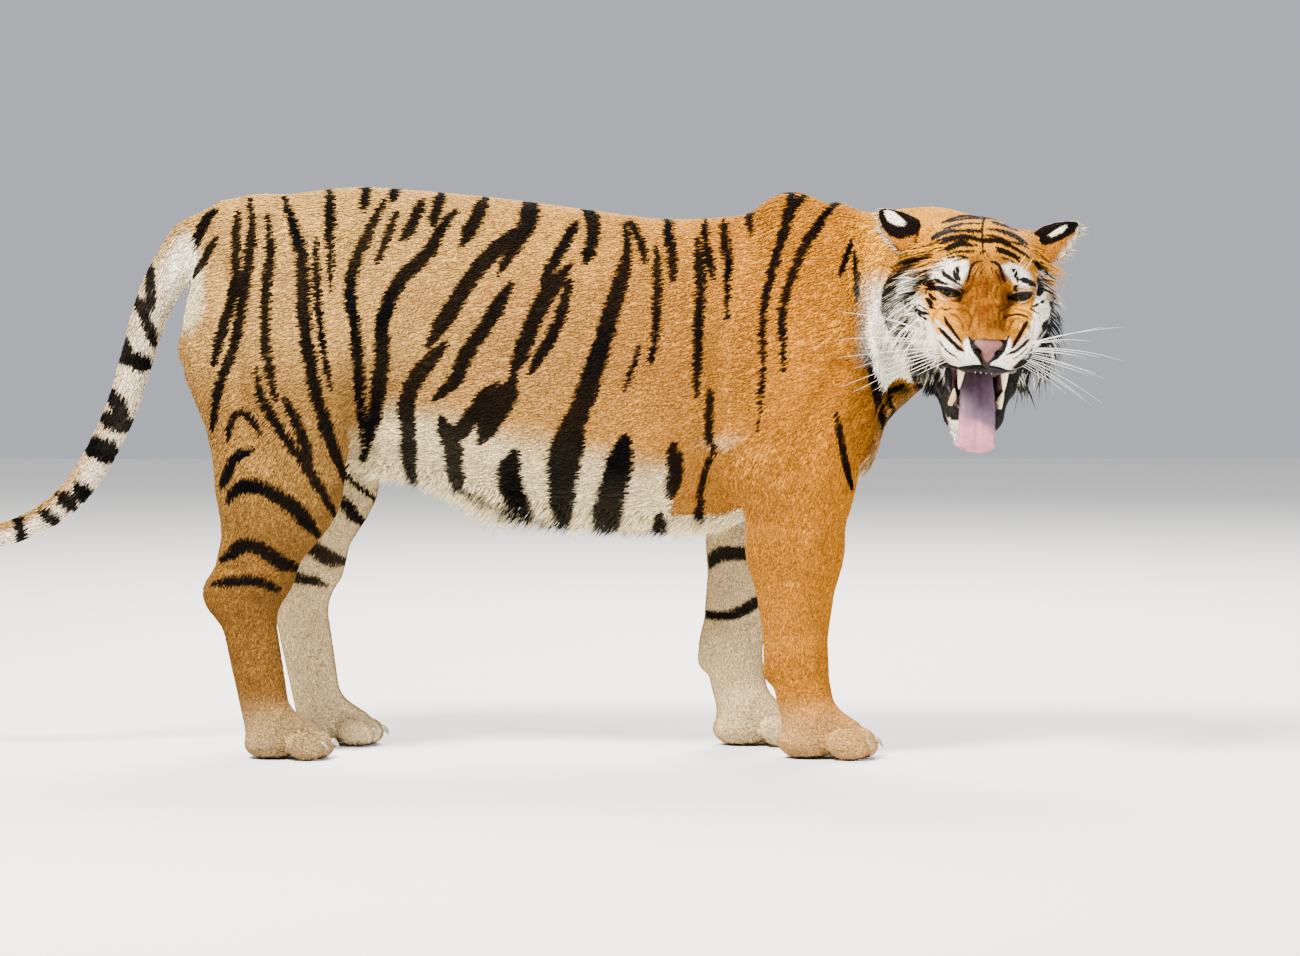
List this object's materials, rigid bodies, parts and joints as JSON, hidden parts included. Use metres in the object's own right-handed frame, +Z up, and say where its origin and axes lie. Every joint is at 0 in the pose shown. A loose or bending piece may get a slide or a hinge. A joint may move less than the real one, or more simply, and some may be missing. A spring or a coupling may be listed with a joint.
{
  "type": "bengal tiger",
  "caption": "Life-size standing tiger with striped coat, head turned to its right, mouth open with the tongue hanging out, tail curving behind.",
  "frame": {"origin": "on the floor, under the middle of the whole animal's box, tail included", "axes": "+X towards the chest, +Y to the animal's left, +Z up; the head looks along -Y"},
  "size_m": [2.162, 0.5976, 1.0045],
  "materials": {
    "striped_fur": "short dense orange coat with black stripes, white underneath",
    "long_fur": "long white and black hair of the ruff and under the belly",
    "ear_fur": "black fur with a white spot on the back, pale hair inside",
    "nose_pad": "moist bare skin, pebbled, pink-brown with dark edges",
    "gums": "wet black lips and gums, ivory teeth",
    "tongue": "wet pink tongue, rough along the middle",
    "eye": "wet, clear cornea over an amber iris"
  },
  "bodies": {
    "root": {"barrel": "striped_fur", "belly_fringe": "long_fur", "chest": "striped_fur", "ear_left": "ear_fur", "ear_right": "ear_fur", "eye_left": "eye", "eye_right": "eye", "foreleg_left_forearm": "striped_fur", "foreleg_left_paw": "striped_fur", "foreleg_left_upper": "striped_fur", "foreleg_right_forearm": "striped_fur", "foreleg_right_paw": "striped_fur", "foreleg_right_upper": "striped_fur", "gums_lower_left": "gums", "gums_lower_right": "gums", "gums_upper": "gums", "head": "striped_fur", "hindleg_left_metatarsus": "striped_fur", "hindleg_left_paw": "striped_fur", "hindleg_left_shank": "striped_fur", "hindleg_left_thigh": "striped_fur", "hindleg_right_metatarsus": "striped_fur", "hindleg_right_paw": "striped_fur", "hindleg_right_shank": "striped_fur", "hindleg_right_thigh": "striped_fur", "hindquarters": "striped_fur", "jaw": "striped_fur", "lip_lower": "gums", "lip_upper": "gums", "neck": "striped_fur", "nose": "nose_pad", "ruff_left": "long_fur", "ruff_right": "long_fur", "tail_1": "striped_fur", "tail_2": "striped_fur", "tail_3": "striped_fur", "tail_4": "striped_fur", "tongue": "tongue"}
  },
  "joints": []
}
